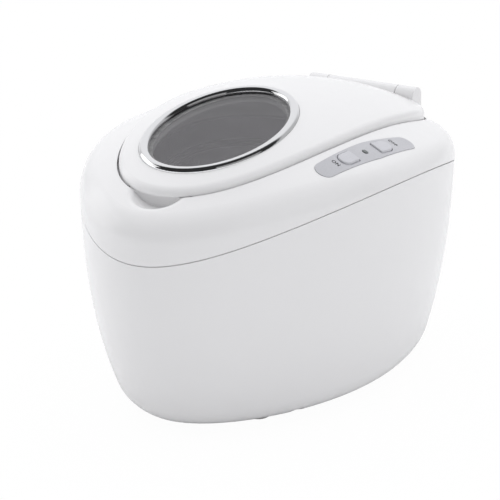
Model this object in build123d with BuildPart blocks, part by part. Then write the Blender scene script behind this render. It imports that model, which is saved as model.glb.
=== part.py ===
from build123d import *
import math
import os
from typing import NamedTuple

os.makedirs("parts", exist_ok=True)

# Household ultrasonic cleaner. X is the width, +Y points to the hinge at the back, +Z is up.
# The origin is on the table under the middle of the casing. All sizes are in millimetres.


class Egg(NamedTuple):
    """Plan outline of four curves that meet square to the axes."""

    half_width: float
    front: float
    back: float
    widest: float
    front_fullness: float
    back_fullness: float


class Arch(NamedTuple):
    """Surface that is curved along Y and, less or more, across X. Its top is over (0, centre)."""

    peak: float
    radius: float
    centre: float
    cross_radius: float


# ---- driving dimensions: casing ----
casing_length = 200.0
casing_width = 134.0
casing_widest = 7.5
front_fullness = 0.49
back_fullness = 0.58
foot_height = 3.0
form_top = 113.0
taper_power = 2.9
front_draw = 21.9
side_draw = 12.0
back_draw = 13.6
bottom_round = 13.0
casing_wall = 2.6

# ---- driving dimensions: seam between the casings ----
seam_peak = 93.2
seam_radius = 235.0
seam_centre = -9.0
seam_gap = 0.4
tongue_depth = 3.0
tongue_inset = 1.5
tongue_clearance = 0.15

# ---- driving dimensions: deck and lid ----
deck_peak = 114.9
deck_radius = 205.0
deck_centre = -3.6
deck_cross_radius = 134.0
deck_round = 11.5
deck_wall = 2.4
rebate_depth = 3.6
lid_peak = 119.0
lid_radius = 204.0
lid_centre = 0.0
lid_cross_radius = 110.0
lid_half_width = 44.6
lid_front = -83.8
lid_back = 85.0
lid_widest = 17.0
lid_front_fullness = 0.606
lid_back_fullness = 0.8
lid_wall = 2.8
lid_edge_round = 3.0
lid_gap = 0.8
lid_rest_gap = 0.5

# ---- driving dimensions: finger recess ----
scoop_centre = -83.3
scoop_radius = 13.55
scoop_depth = 5.6
scoop_back = -81.6
scoop_wall = 2.2
scoop_round = 3.0
lip_drop = 0.3
lip_shadow_gap = 0.5

# ---- driving dimensions: window ----
window_centre = -36.0
window_half_length = 39.3
window_half_width = 28.0
bezel_width = 4.0
bezel_proud = 1.7
bezel_round = 1.6
bezel_clearance = 0.1
pane_cover = 1.2
pane_thickness = 1.2
window_seat_depth = 1.5
window_seat_width = 1.2
window_gasket_thickness = 0.4
window_frame_margin = 1.5
window_frame_depth = 3.6

# ---- driving dimensions: tank ----
tank_half_width = 40.0
tank_front = -64.0
tank_back = 36.0
tank_widest = 2.0
tank_front_fullness = 0.56
tank_back_fullness = 0.64
tank_rim = 97.0
tank_floor = 52.0
tank_wall = 0.8
tank_flange = 3.0
tank_flange_clearance = 0.3
tank_shoulder_depth = 10.5
tank_shoulder = 3.4
tank_shoulder_round = 1.5
tank_floor_round = 9.0
tank_gasket_thickness = 1.0
well_wall = 2.2

# ---- driving dimensions: hinge ----
hinge_y = 85.5
hinge_z = 99.1
hinge_radius = 4.5
hinge_length = 51.0
lid_knuckle_length = 33.2
knuckle_gap = 0.3
hinge_swing_gap = 0.5
skirt_swing_radius = 7.4
hinge_root = 11.0
pin_radius = 1.5
pin_clearance = 0.05
pin_recess = 0.6
pin_end_wall = 1.2

# ---- driving dimensions: key panel ----
panel_x = 51.6
panel_y = -13.3
panel_turn = 9.5
panel_front = -25.2
panel_front_radius = 3.9
panel_middle = 4.0
panel_middle_radius = 4.9
panel_back = 26.5
panel_back_radius = 3.6
panel_depth = 0.7
panel_proud = 0.3
panel_clearance = 0.1
key_spacing = 11.2
key_width = 6.0
key_length = 8.6
key_corner = 1.0
key_proud = 0.9
key_edge_round = 0.5
key_clearance = 0.3
key_flange = 0.8
key_flange_gap = 0.3
key_flange_thickness = 3.4
key_travel = 0.6
stem_radius = 1.2
stem_clearance = 0.3
stem_reach = 0.9
light_radius = 1.2
light_proud = 0.6
light_edge_round = 0.4
key_board_drop = 12.2
key_board_width = 8.0
key_board_length = 45.0
key_board_thickness = 1.2
key_boss_offset = 19.5
key_boss_radius = 2.2
key_screw_head_radius = 2.2
switch_size = 6.0
switch_height = 3.8

# ---- driving dimensions: casing screws, feet and vents ----
post_front_x = 38.5
post_front_y = -43.0
post_back_x = 37.0
post_back_y = 56.0
post_radius = 4.5
post_split = 78.0
post_joint_gap = 0.2
post_top_cover = 1.0
casing_screw_head_radius = 2.8
casing_screw_head_height = 2.4
casing_screw_radius = 1.5
casing_screw_grip = 8.0
casing_screw_bite = 12.0
screw_clearance = 0.3
screw_hole_gap = 0.05
foot_radius = 5.0
foot_socket = 1.0
foot_edge_round = 0.8
foot_front_x = 22.5
foot_front_y = -45.5
foot_back_x = 27.0
foot_back_y = 52.0
vent_width = 2.0
vent_length = 18.0
vent_pitch = 5.0
vent_count = 7
vent_y = 38.0

# ---- driving dimensions: lid bumpers ----
bumper_x = 30.5
bumper_front_y = -45.0
bumper_back_y = 55.0
bumper_radius = 2.3
bumper_height = 2.0
bumper_socket = 1.0
bumper_gap = 0.3

# ---- driving dimensions: tank clamps ----
clamp_levels = (-50.0, 22.0)
clamp_width = 8.0
clamp_length = 11.0
clamp_thickness = 1.5
clamp_wall_gap = 0.4
clamp_screw_inset = 7.0
clamp_boss_radius = 3.0
clamp_screw_radius = 1.2
clamp_screw_head_radius = 2.3
clamp_screw_head_height = 1.6
clamp_screw_bite = 3.0

# ---- driving dimensions: transducer under the tank ----
transducer_y = -14.0
horn_top_radius = 19.0
horn_radius = 15.0
horn_height = 14.0
horn_lip = 4.0
piezo_height = 5.0
piezo_hole_radius = 6.0
electrode_thickness = 0.4
electrode_tab_width = 4.0
electrode_tab_length = 5.0
back_mass_height = 12.0
back_mass_round = 1.0
transducer_bolt_radius = 3.0
transducer_bolt_head_radius = 5.0
transducer_bolt_head_height = 4.0
transducer_bolt_grip = 9.0

# ---- driving dimensions: driver board ----
board_y = 40.0
board_width = 58.0
board_length = 48.0
board_thickness = 1.6
board_corner = 1.0
board_lift = 8.0
board_screw_inset = 4.0
standoff_radius = 3.2
board_screw_radius = 1.2
board_screw_head_radius = 2.4
board_screw_head_height = 1.6
board_screw_bite = 6.0

# ---- driving dimensions: parts on the driver board ----
transformer_x = 0.0
transformer_y = 29.0
transformer_width = 22.0
transformer_depth = 16.0
transformer_height = 17.0
transformer_limb = 4.0
winding_gap = 0.2
choke_x = -10.5
choke_y = 47.0
choke_radius = 6.5
choke_core_radius = 2.8
choke_base_height = 1.5
film_capacitor_x = 9.0
film_capacitor_y = 46.0
film_capacitor_pitch = 9.0
film_capacitor_width = 15.0
film_capacitor_depth = 6.5
film_capacitor_height = 13.0
film_capacitor_round = 1.0
bulk_capacitor_x = -19.0
bulk_capacitor_y = 29.0
bulk_capacitor_radius = 6.5
bulk_capacitor_height = 20.0
bulk_capacitor_round = 1.0
heat_sink_x = 21.5
heat_sink_y = 37.0
heat_sink_base = 2.5
heat_sink_length = 28.0
heat_sink_height = 24.0
fin_reach = 4.5
fin_thickness = 1.6
fin_count = 5
transistor_pitch = 14.0
transistor_width = 10.0
transistor_height = 15.0
transistor_thickness = 4.4
transistor_lift = 4.0
transistor_leg = 0.4
fuse_x = -23.5
fuse_y = 46.5
fuse_radius = 2.6
fuse_cap_thickness = 0.4
fuse_length = 20.0
fuse_cap_length = 5.0
fuse_lift = 1.6

# ---- driving dimensions: power inlet ----
inlet_z = 32.0
inlet_seat_y = 88.0
inlet_plate_width = 26.0
inlet_plate_height = 17.0
inlet_plate_thickness = 2.0
inlet_body_width = 22.0
inlet_body_height = 13.0
inlet_body_depth = 13.0
inlet_pad_thickness = 4.5
inlet_pad_margin = 3.0
inlet_clearance = 0.2
inlet_mouth_width = 16.5
inlet_mouth_height = 8.5
inlet_mouth_depth = 12.0
contact_spacing = 8.6
contact_radius = 1.2
contact_recess = 2.0
contact_tail = 6.0

# ---- driving dimensions: leads inside the casing ----
mains_lead_radius = 0.7
transducer_lead_radius = 0.6
key_lead_radius = 0.5
key_lead_pitch = 1.4
mains_lead_y = 56.0
transducer_lead_spacing = 7.0
transducer_lead_y = 20.0
key_lead_count = 3
bend_share = 0.45


def write_out(piece, name):
    """Labels a finished piece and writes its STEP file."""
    piece.part.label = name
    export_step(piece.part, f"parts/{name}.step")


def grown(plan, distance):
    """The same egg, larger all round by the distance."""
    return plan._replace(
        half_width=plan.half_width + distance,
        front=plan.front - distance,
        back=plan.back + distance,
    )


def egg_face(plan):
    """Fills the egg's outline in the sketch that is being built."""
    front_reach = plan.widest - plan.front
    back_reach = plan.back - plan.widest
    with BuildLine() as outline:
        Bezier(
            (0, plan.front),
            (plan.front_fullness * plan.half_width, plan.front),
            (plan.half_width, plan.widest - plan.front_fullness * front_reach),
            (plan.half_width, plan.widest),
        )
        Bezier(
            (plan.half_width, plan.widest),
            (plan.half_width, plan.widest + plan.back_fullness * back_reach),
            (plan.back_fullness * plan.half_width, plan.back),
            (0, plan.back),
        )
        mirror(about=Plane.YZ)
    make_face(outline.edges())


def prism(plan, bottom, top, mode=Mode.ADD):
    """Upright block with the egg's outline."""
    with BuildSketch(Plane.XY.offset(bottom)) as section:
        egg_face(plan)
    extrude(section.sketch, amount=top - bottom, mode=mode)


def casing_plan(level, inset):
    """The casing's outline at a level, drawn in by the mould's taper and by the inset."""
    draw_in = ((form_top - level) / (form_top - foot_height)) ** taper_power
    return Egg(
        casing_width / 2 - side_draw * draw_in - inset,
        -casing_length / 2 + front_draw * draw_in + inset,
        casing_length / 2 - back_draw * draw_in - inset,
        casing_widest,
        front_fullness,
        back_fullness,
    )


def casing_form(inset):
    """Lofts the tapering casing, smaller all round by the inset, with its rounded bottom edge."""
    bottom = foot_height + inset
    sections = []
    for share in (0, 0.2, 0.45, 0.7, 1):
        level = bottom + share * (form_top - bottom)
        with BuildSketch(Plane.XY.offset(level)) as section:
            egg_face(casing_plan(level, inset))
        sections.append(section.sketch.face())
    loft(sections)
    fillet(edges().group_by(Axis.Z)[0], radius=bottom_round - inset)


def sunk(arch, depth):
    """The arch's surface moved down along its own radius."""
    return arch._replace(peak=arch.peak - depth, radius=arch.radius - depth)


def arch_height(arch, x, y):
    """Height of the arch's surface over a point."""
    crown = arch.cross_radius - math.sqrt(arch.cross_radius**2 - x**2)
    return arch.peak - arch.radius + math.sqrt((arch.radius - crown) ** 2 - (y - arch.centre) ** 2)


def under_arch(arch, mode=Mode.ADD):
    """Everything under the arch's surface: a barrel whose axis runs along X."""
    reach = min(casing_width * 0.6, arch.cross_radius * 0.75)
    edge = arch.radius - arch.cross_radius + math.sqrt(arch.cross_radius**2 - reach**2)
    hub = (0, arch.centre, arch.peak - arch.radius)
    with BuildSketch(Plane(origin=hub, x_dir=(1, 0, 0), z_dir=(0, -1, 0))) as profile:
        with BuildLine():
            ThreePointArc((-reach, edge), (0, arch.radius), (reach, edge))
            Polyline((reach, edge), (reach, 0), (-reach, 0), (-reach, edge))
        make_face()
    revolve(profile.sketch, axis=Axis(hub, (1, 0, 0)), mode=mode)


def under_seam(drop, mode=Mode.ADD):
    """Everything under the seam's arch, lowered by the drop."""
    with BuildSketch(Plane.YZ) as profile:
        with Locations((seam_centre, seam_peak - seam_radius)):
            Circle(seam_radius - drop)
    extrude(profile.sketch, amount=casing_width, both=True, mode=mode)


deck = Arch(deck_peak, deck_radius, deck_centre, deck_cross_radius)
lid_top = Arch(lid_peak, lid_radius, lid_centre, lid_cross_radius)
ledge = sunk(deck, rebate_depth)
lid_plan = Egg(lid_half_width, lid_front, lid_back, lid_widest, lid_front_fullness, lid_back_fullness)
tank_plan = Egg(tank_half_width, tank_front, tank_back, tank_widest, tank_front_fullness, tank_back_fullness)


# ---- casings ----
def seam_tongue_form(inset):
    """The band of casing wall, further in than the inset, that reaches below the seam."""
    casing_form(inset)
    under_seam(-seam_gap, mode=Mode.INTERSECT)


post_places = [
    (-post_front_x, post_front_y),
    (post_front_x, post_front_y),
    (-post_back_x, post_back_y),
    (post_back_x, post_back_y),
]
foot_places = {
    "foot_front_left": (-foot_front_x, foot_front_y),
    "foot_front_right": (foot_front_x, foot_front_y),
    "foot_rear_left": (-foot_back_x, foot_back_y),
    "foot_rear_right": (foot_back_x, foot_back_y),
}
casing_floor = foot_height + casing_wall
board_bottom = casing_floor + board_lift
board_top = board_bottom + board_thickness
standoff_places = [
    (x * (board_width / 2 - board_screw_inset), board_y + y * (board_length / 2 - board_screw_inset))
    for x in (-1, 1)
    for y in (-1, 1)
]
casing_screw_seat = post_split - casing_screw_grip
inlet_box_height = inlet_plate_height + 2 * inlet_pad_margin


def round_bars(places, radius, bottom, top, mode=Mode.ADD):
    """Upright round bars, one at each place."""
    with BuildSketch(Plane.XY.offset(bottom)) as section:
        with Locations(*places):
            Circle(radius)
    extrude(section.sketch, amount=top - bottom, mode=mode)


def back_block(width, height, inner_y, outer_y, mode=Mode.ADD):
    """Block behind the power inlet's centre line, from one distance back to another."""
    with BuildSketch(Plane.XZ.offset(-outer_y)) as section:
        with Locations((0, inlet_z)):
            Rectangle(width, height)
    extrude(section.sketch, amount=outer_y - inner_y, mode=mode)


with BuildPart() as casing_hollow:
    casing_form(casing_wall)
    under_arch(sunk(deck, deck_wall), mode=Mode.INTERSECT)
    fillet(faces().sort_by(Axis.Z)[-1].edges(), radius=deck_round - deck_wall)

with BuildPart() as lower_fittings:
    round_bars(post_places, post_radius, foot_height, post_split - post_joint_gap)
    round_bars(standoff_places, standoff_radius, foot_height, board_bottom)
    back_block(
        inlet_plate_width + 2 * inlet_pad_margin,
        inlet_box_height,
        inlet_seat_y - inlet_pad_thickness,
        casing_length / 2,
    )

with BuildPart() as seam_rebate:
    seam_tongue_form(tongue_inset - tongue_clearance)
    under_seam(tongue_depth + tongue_clearance, mode=Mode.SUBTRACT)

with BuildPart() as casing_blank:
    casing_form(0)
    under_arch(deck, mode=Mode.INTERSECT)
    fillet(faces().sort_by(Axis.Z)[-1].edges(), radius=deck_round)

with BuildPart() as lower_cuts:
    add(seam_rebate.part)
    back_block(
        inlet_plate_width + 2 * inlet_clearance,
        inlet_plate_height + 2 * inlet_clearance,
        inlet_seat_y,
        casing_length / 2,
    )
    back_block(
        inlet_body_width + 2 * inlet_clearance,
        inlet_body_height + 2 * inlet_clearance,
        inlet_seat_y - inlet_pad_thickness,
        inlet_seat_y,
    )
    round_bars(post_places, casing_screw_radius + screw_clearance, foot_height, post_split)
    round_bars(post_places, casing_screw_head_radius + screw_clearance, foot_height, casing_screw_seat)
    round_bars(standoff_places, board_screw_radius, board_bottom - board_screw_bite, board_bottom)
    round_bars(foot_places.values(), foot_radius, foot_height, foot_height + foot_socket)
    with BuildSketch(Plane.XY.offset(foot_height)) as vents:
        with Locations((0, vent_y)):
            with GridLocations(vent_pitch, 0, vent_count, 1):
                SlotOverall(vent_length, vent_width, rotation=90)
    extrude(vents.sketch, amount=casing_wall)

with BuildPart() as lower_casing:
    add(casing_blank.part)
    under_seam(seam_gap / 2, mode=Mode.INTERSECT)
    add(casing_hollow.part, mode=Mode.SUBTRACT)
    add(lower_fittings.part & casing_blank.part)
    add(lower_cuts.part, mode=Mode.SUBTRACT)
write_out(lower_casing, "lower_casing")


# ---- upper casing ----
well_bottom = tank_rim + tank_gasket_thickness
flange_bottom = tank_rim - tank_wall
top_of_all = lid_peak + hinge_radius
fitting_base = tank_floor
pin_reach = hinge_length / 2 - pin_end_wall
panel_plane = Plane(
    origin=(panel_x, panel_y, 0),
    x_dir=(math.cos(math.radians(panel_turn)), -math.sin(math.radians(panel_turn)), 0),
    z_dir=(0, 0, 1),
)
key_board_top = arch_height(deck, panel_x, panel_y) - key_board_drop
key_board_bottom = key_board_top - key_board_thickness


def half_width_at(plan, y):
    """Half-width of the egg where it crosses a line across it."""
    front_side = y < plan.widest
    fullness = plan.front_fullness if front_side else plan.back_fullness
    reach = plan.widest - plan.front if front_side else plan.back - plan.widest
    along = abs(y - plan.widest) / reach
    low, high = 0.0, 1.0
    for _ in range(40):
        t = (low + high) / 2
        rise = 3 * (1 - t) ** 2 * t * fullness + 3 * (1 - t) * t**2 + t**3
        low, high = (t, high) if rise < along else (low, t)
    return plan.half_width * ((1 - t) ** 3 + 3 * (1 - t) ** 2 * t + 3 * (1 - t) * t**2 * fullness)


def outline_plane(plan, side, y, level):
    """Plane that looks up at the egg's edge, with its x axis pointing straight out of the egg."""
    step = plan.half_width / 1000
    slope = (half_width_at(plan, y + step) - half_width_at(plan, y - step)) / (2 * step)
    return Plane(
        origin=(side * half_width_at(plan, y), y, level), x_dir=(side, -slope, 0), z_dir=(0, 0, 1)
    )


clamp_planes = [outline_plane(tank_plan, side, y, flange_bottom) for side in (-1, 1) for y in clamp_levels]
clamp_bosses = [plane.from_local_coords(Vector(clamp_screw_inset, 0, 0)) for plane in clamp_planes]
clamp_boss_places = [(boss.X, boss.Y) for boss in clamp_bosses]
key_bosses = [panel_plane.from_local_coords(Vector(0, v, 0)) for v in (-key_boss_offset, key_boss_offset)]
key_boss_places = [(boss.X, boss.Y) for boss in key_bosses]
bumper_places = [(side * bumper_x, y) for side in (-1, 1) for y in (bumper_front_y, bumper_back_y)]


def panel_outline(growth):
    """Long outline of the key panel, widest near its middle, in the panel's own plane."""
    with BuildSketch() as outline:
        with Locations((0, panel_front)):
            Circle(panel_front_radius + growth)
        with Locations((0, panel_middle)):
            Circle(panel_middle_radius + growth)
        with Locations((0, panel_back)):
            Circle(panel_back_radius + growth)
        make_hull()
    return outline.sketch


def key_outline(side, growth):
    """D-shaped outline of a key, whose flat side faces the light between the two keys."""
    centre = side * (key_spacing + (key_length - key_width) / 2)
    flat = side * (key_spacing - key_length / 2 - growth)
    with BuildSketch() as outline:
        with Locations((0, centre)):
            Circle(key_width / 2 + growth)
        with Locations((0, (centre + flat) / 2)):
            Rectangle(key_width + 2 * growth, abs(centre - flat))
        flat_corners = outline.vertices().group_by(Axis.Y)[0 if side > 0 else -1]
        fillet(flat_corners, radius=key_corner)
    return outline.sketch


def panel_block(outline, bottom, top, mode=Mode.ADD):
    """Upright block on an outline that is drawn in the panel's plane."""
    with BuildSketch(panel_plane.offset(bottom)) as section:
        add(outline)
    extrude(section.sketch, amount=top - bottom, mode=mode)


def panel_bars(offsets, radius, bottom, top, mode=Mode.ADD):
    """Upright round bars on the panel's centre line."""
    with BuildSketch() as outline:
        with Locations(*[(0, offset) for offset in offsets]):
            Circle(radius)
    panel_block(outline.sketch, bottom, top, mode=mode)


def cross_bar(radius, half_length, mode=Mode.ADD):
    """Round bar on the hinge's axis."""
    with BuildSketch(Plane.YZ) as section:
        with Locations((hinge_y, hinge_z)):
            Circle(radius)
    extrude(section.sketch, amount=half_length, both=True, mode=mode)


def pin_bar(radius, low, high, mode=Mode.ADD):
    """Round bar on the hinge's axis, from one place across the casing to another."""
    with BuildSketch(Plane.YZ.offset(low)) as section:
        with Locations((hinge_y, hinge_z)):
            Circle(radius)
    extrude(section.sketch, amount=high - low, mode=mode)


with BuildPart() as rebate_block:
    prism(grown(lid_plan, lid_gap + deck_wall), fitting_base, top_of_all)
    under_arch(sunk(ledge, deck_wall), mode=Mode.SUBTRACT)

with BuildPart() as upper_fittings:
    round_bars(post_places, post_radius, post_split, top_of_all)
    round_bars(clamp_boss_places, clamp_boss_radius, flange_bottom, top_of_all)
    panel_bars((-key_boss_offset, key_boss_offset), key_boss_radius, key_board_top, top_of_all)
    prism(grown(tank_plan, well_wall), well_bottom, top_of_all)
    under_arch(sunk(deck, post_top_cover), mode=Mode.INTERSECT)

scoop_hub_z = arch_height(deck, 0, scoop_centre) - scoop_depth + scoop_radius


def scoop_ball(radius, back_y):
    """Ball of the finger recess, flat at the back, where the lid's lip hangs over it."""
    with Locations((0, scoop_centre, scoop_hub_z)):
        Sphere(radius)
    split(bisect_by=Plane.XZ.offset(-back_y), keep=Keep.TOP)


def on_scoop_rim(edge):
    """Whether an edge lies where the finger recess breaks through the deck."""
    middle = edge @ 0.5
    reach = (middle - Vector(0, scoop_centre, scoop_hub_z)).length
    return abs(reach - scoop_radius) < scoop_wall / 100 and middle.Z > scoop_hub_z - scoop_radius + scoop_wall / 2


with BuildPart() as scoop_space:
    scoop_ball(scoop_radius, scoop_back)

with BuildPart() as upper_blank:
    add(casing_blank.part)
    add(scoop_space.part, mode=Mode.SUBTRACT)
    fillet(edges().filter_by(on_scoop_rim).sort_by(Axis.Y)[0], radius=scoop_round)

with BuildPart() as scoop_block:
    scoop_ball(scoop_radius + scoop_wall, scoop_back + scoop_wall)

with BuildPart() as upper_hollow:
    add(casing_hollow.part)
    add(rebate_block.part, mode=Mode.SUBTRACT)
    add(scoop_block.part, mode=Mode.SUBTRACT)

with BuildPart() as scoop_back_wall:
    add(scoop_block.part)
    under_arch(sunk(deck, lip_drop + lip_shadow_gap), mode=Mode.INTERSECT)

with BuildPart() as rebate_space:
    prism(grown(lid_plan, lid_gap), fitting_base, top_of_all)
    under_arch(ledge, mode=Mode.SUBTRACT)
    add(scoop_back_wall.part, mode=Mode.SUBTRACT)

with BuildPart() as seam_tongue:
    seam_tongue_form(tongue_inset)
    under_seam(tongue_depth, mode=Mode.SUBTRACT)
    add(casing_hollow.part, mode=Mode.SUBTRACT)

with BuildPart() as hinge_knuckles:
    with BuildSketch(Plane.YZ.offset(lid_knuckle_length / 2 + knuckle_gap)) as section:
        with Locations((hinge_y, hinge_z)):
            Circle(hinge_radius)
        with Locations((hinge_y, hinge_z - hinge_root / 2)):
            Rectangle(2 * hinge_radius, hinge_root)
    extrude(section.sketch, amount=(hinge_length - lid_knuckle_length) / 2 - knuckle_gap)
    mirror(about=Plane.YZ)

with BuildPart() as panel_bed:
    panel_block(panel_outline(panel_clearance), key_board_top, top_of_all)
    under_arch(sunk(deck, panel_depth), mode=Mode.SUBTRACT)

with BuildPart() as bumper_sockets:
    round_bars(bumper_places, bumper_radius, fitting_base, top_of_all)
    under_arch(sunk(ledge, bumper_socket), mode=Mode.SUBTRACT)

with BuildPart() as upper_cuts:
    add(rebate_space.part)
    add(panel_bed.part)
    add(bumper_sockets.part)
    prism(tank_plan, fitting_base, top_of_all)
    prism(grown(tank_plan, tank_wall + tank_flange + tank_flange_clearance), flange_bottom, well_bottom)
    round_bars(post_places, casing_screw_radius, post_split, post_split + casing_screw_bite)
    round_bars(clamp_boss_places, clamp_screw_radius, flange_bottom, flange_bottom + clamp_screw_bite)
    panel_bars(
        (-key_boss_offset, key_boss_offset), board_screw_radius, key_board_top, key_board_top + board_screw_bite
    )
    panel_block(key_outline(-1, key_clearance), key_board_top, top_of_all)
    panel_block(key_outline(1, key_clearance), key_board_top, top_of_all)
    panel_bars((0,), light_radius + panel_clearance, key_board_top, top_of_all)
    cross_bar(hinge_radius + hinge_swing_gap, lid_knuckle_length / 2 + knuckle_gap)

with BuildPart() as upper_casing:
    add(upper_blank.part)
    under_seam(-seam_gap / 2, mode=Mode.SUBTRACT)
    add(upper_hollow.part, mode=Mode.SUBTRACT)
    add([seam_tongue.part, upper_fittings.part])
    add(upper_cuts.part, mode=Mode.SUBTRACT)
    add(hinge_knuckles.part)
    pin_bar(pin_radius + pin_clearance, -hinge_length, pin_reach, mode=Mode.SUBTRACT)
write_out(upper_casing, "upper_casing")


# ---- feet ----
for foot_name, foot_place in foot_places.items():
    with BuildPart() as foot:
        round_bars([foot_place], foot_radius, 0, foot_height + foot_socket)
        fillet(edges().group_by(Axis.Z)[0], radius=foot_edge_round)
    write_out(foot, foot_name)


# ---- key panel, keys and light ----
key_names = {-1: "on_key", 1: "off_key"}
switch_top = key_board_top + switch_height
stem_bottom = switch_top - stem_reach
under_skin = sunk(deck, deck_wall + key_flange_gap)

with BuildPart() as key_panel:
    panel_block(panel_outline(0), key_board_top, top_of_all)
    under_arch(sunk(deck, -panel_proud), mode=Mode.INTERSECT)
    under_arch(sunk(deck, panel_depth), mode=Mode.SUBTRACT)
    panel_block(key_outline(-1, key_clearance), key_board_top, top_of_all, mode=Mode.SUBTRACT)
    panel_block(key_outline(1, key_clearance), key_board_top, top_of_all, mode=Mode.SUBTRACT)
    panel_bars((0,), light_radius + panel_clearance, key_board_top, top_of_all, mode=Mode.SUBTRACT)
write_out(key_panel, "key_panel")

for side, key_name in key_names.items():
    key_place = panel_plane.from_local_coords(Vector(0, side * key_spacing, 0))
    flange_level = arch_height(under_skin, key_place.X, key_place.Y) - key_flange_thickness
    with BuildPart() as flange:
        panel_block(key_outline(side, key_flange), flange_level, top_of_all)
        under_arch(under_skin, mode=Mode.INTERSECT)
    with BuildPart() as key:
        panel_block(key_outline(side, 0), flange_level, top_of_all)
        under_arch(sunk(deck, -key_proud), mode=Mode.INTERSECT)
        fillet(faces().sort_by(Axis.Z)[-1].edges(), radius=key_edge_round)
        add(flange.part)
        panel_bars((side * key_spacing,), stem_radius, stem_bottom, flange_level)
    write_out(key, key_name)

with BuildPart() as status_light:
    panel_bars((0,), light_radius, key_board_top, top_of_all)
    under_arch(sunk(deck, -light_proud), mode=Mode.INTERSECT)
    fillet(faces().sort_by(Axis.Z)[-1].edges(), radius=light_edge_round)
write_out(status_light, "status_light")

with BuildPart() as key_board:
    with BuildSketch() as board_outline:
        RectangleRounded(key_board_width, key_board_length, board_corner)
        with Locations((0, -key_boss_offset), (0, key_boss_offset)):
            Circle(board_screw_radius + screw_hole_gap, mode=Mode.SUBTRACT)
    panel_block(board_outline.sketch, key_board_bottom, key_board_top)
write_out(key_board, "key_board")

with BuildPart() as key_switches:
    with BuildSketch() as switch_outline:
        with Locations((0, -key_spacing), (0, key_spacing)):
            Rectangle(switch_size, switch_size)
    panel_block(switch_outline.sketch, key_board_top, switch_top)
    panel_bars(
        (-key_spacing, key_spacing),
        stem_radius + stem_clearance,
        stem_bottom - key_travel - stem_clearance,
        switch_top,
        mode=Mode.SUBTRACT,
    )
write_out(key_switches, "key_switches")


# ---- screws ----
def screws(planes, radius, length, head_radius, head_height):
    """Pan-head screws, each with its head on the far side of its plane and its shank along the normal."""
    for plane in planes:
        with BuildSketch(plane) as shank:
            Circle(radius)
        extrude(shank.sketch, amount=length)
        with BuildSketch(plane) as head:
            Circle(head_radius)
        extrude(head.sketch, amount=-head_height)
        with BuildSketch(plane.offset(-head_height)) as drive:
            Rectangle(head_radius, head_height / 4)
            Rectangle(head_height / 4, head_radius)
        extrude(drive.sketch, amount=head_height / 2, mode=Mode.SUBTRACT)


def upright_planes(places, level):
    """Planes that look up at a level, one at each place."""
    return [Plane(origin=(x, y, level), x_dir=(1, 0, 0), z_dir=(0, 0, 1)) for x, y in places]


with BuildPart() as casing_screws:
    screws(
        upright_planes(post_places, casing_screw_seat),
        casing_screw_radius,
        casing_screw_grip + casing_screw_bite,
        casing_screw_head_radius,
        casing_screw_head_height,
    )
write_out(casing_screws, "casing_screws")

with BuildPart() as tank_clamp_screws:
    screws(
        upright_planes(clamp_boss_places, flange_bottom - clamp_thickness),
        clamp_screw_radius,
        clamp_thickness + clamp_screw_bite,
        clamp_screw_head_radius,
        clamp_screw_head_height,
    )
write_out(tank_clamp_screws, "tank_clamp_screws")

with BuildPart() as key_board_screws:
    screws(
        upright_planes(key_boss_places, key_board_bottom),
        board_screw_radius,
        key_board_thickness + board_screw_bite,
        key_screw_head_radius,
        board_screw_head_height,
    )
write_out(key_board_screws, "key_board_screws")

with BuildPart() as board_screws:
    screws(
        [Plane(origin=(x, y, board_top), x_dir=(1, 0, 0), z_dir=(0, 0, -1)) for x, y in standoff_places],
        board_screw_radius,
        board_thickness + board_screw_bite,
        board_screw_head_radius,
        board_screw_head_height,
    )
write_out(board_screws, "board_screws")


# ---- tank, its gasket and clamps ----
tank_shoulder_level = tank_rim - tank_shoulder_depth


def tank_form(growth):
    """The tank's bath, or its outside when grown by the wall."""
    prism(grown(tank_plan, growth), tank_shoulder_level - growth, tank_rim)
    prism(grown(tank_plan, growth - tank_shoulder), tank_floor - growth, tank_shoulder_level)
    shoulder = edges().filter_by(lambda edge: abs(edge.center().Z - tank_shoulder_level + growth) < tank_wall)
    fillet(shoulder, radius=tank_shoulder_round)
    fillet(edges().group_by(Axis.Z)[0], radius=tank_floor_round + growth)


with BuildPart() as bath:
    tank_form(0)

with BuildPart() as tank:
    tank_form(tank_wall)
    prism(grown(tank_plan, tank_wall + tank_flange), flange_bottom, tank_rim)
    add(bath.part, mode=Mode.SUBTRACT)
write_out(tank, "tank")

with BuildPart() as tank_gasket:
    prism(grown(tank_plan, well_wall), tank_rim, well_bottom)
    prism(tank_plan, tank_rim, well_bottom, mode=Mode.SUBTRACT)
write_out(tank_gasket, "tank_gasket")

with BuildPart() as tank_clamps:
    for plane in clamp_planes:
        with BuildSketch(plane) as clamp:
            with Locations((clamp_screw_inset + clamp_boss_radius, 0)):
                Rectangle(clamp_length, clamp_width, align=(Align.MAX, Align.CENTER))
        extrude(clamp.sketch, amount=-clamp_thickness)
    prism(
        grown(tank_plan, tank_wall + clamp_wall_gap),
        flange_bottom - clamp_thickness,
        flange_bottom,
        mode=Mode.SUBTRACT,
    )
    round_bars(
        clamp_boss_places,
        clamp_screw_radius + screw_hole_gap,
        flange_bottom - clamp_thickness,
        flange_bottom,
        mode=Mode.SUBTRACT,
    )
write_out(tank_clamps, "tank_clamps")


# ---- transducer under the tank ----
transducer_axis = [(0, transducer_y)]
horn_top = tank_floor - tank_wall
horn_bottom = horn_top - horn_height
electrode_levels = [
    horn_bottom - piezo_height - electrode_thickness,
    horn_bottom - 2 * (piezo_height + electrode_thickness),
]
back_mass_top = electrode_levels[-1]
back_mass_bottom = back_mass_top - back_mass_height

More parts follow.
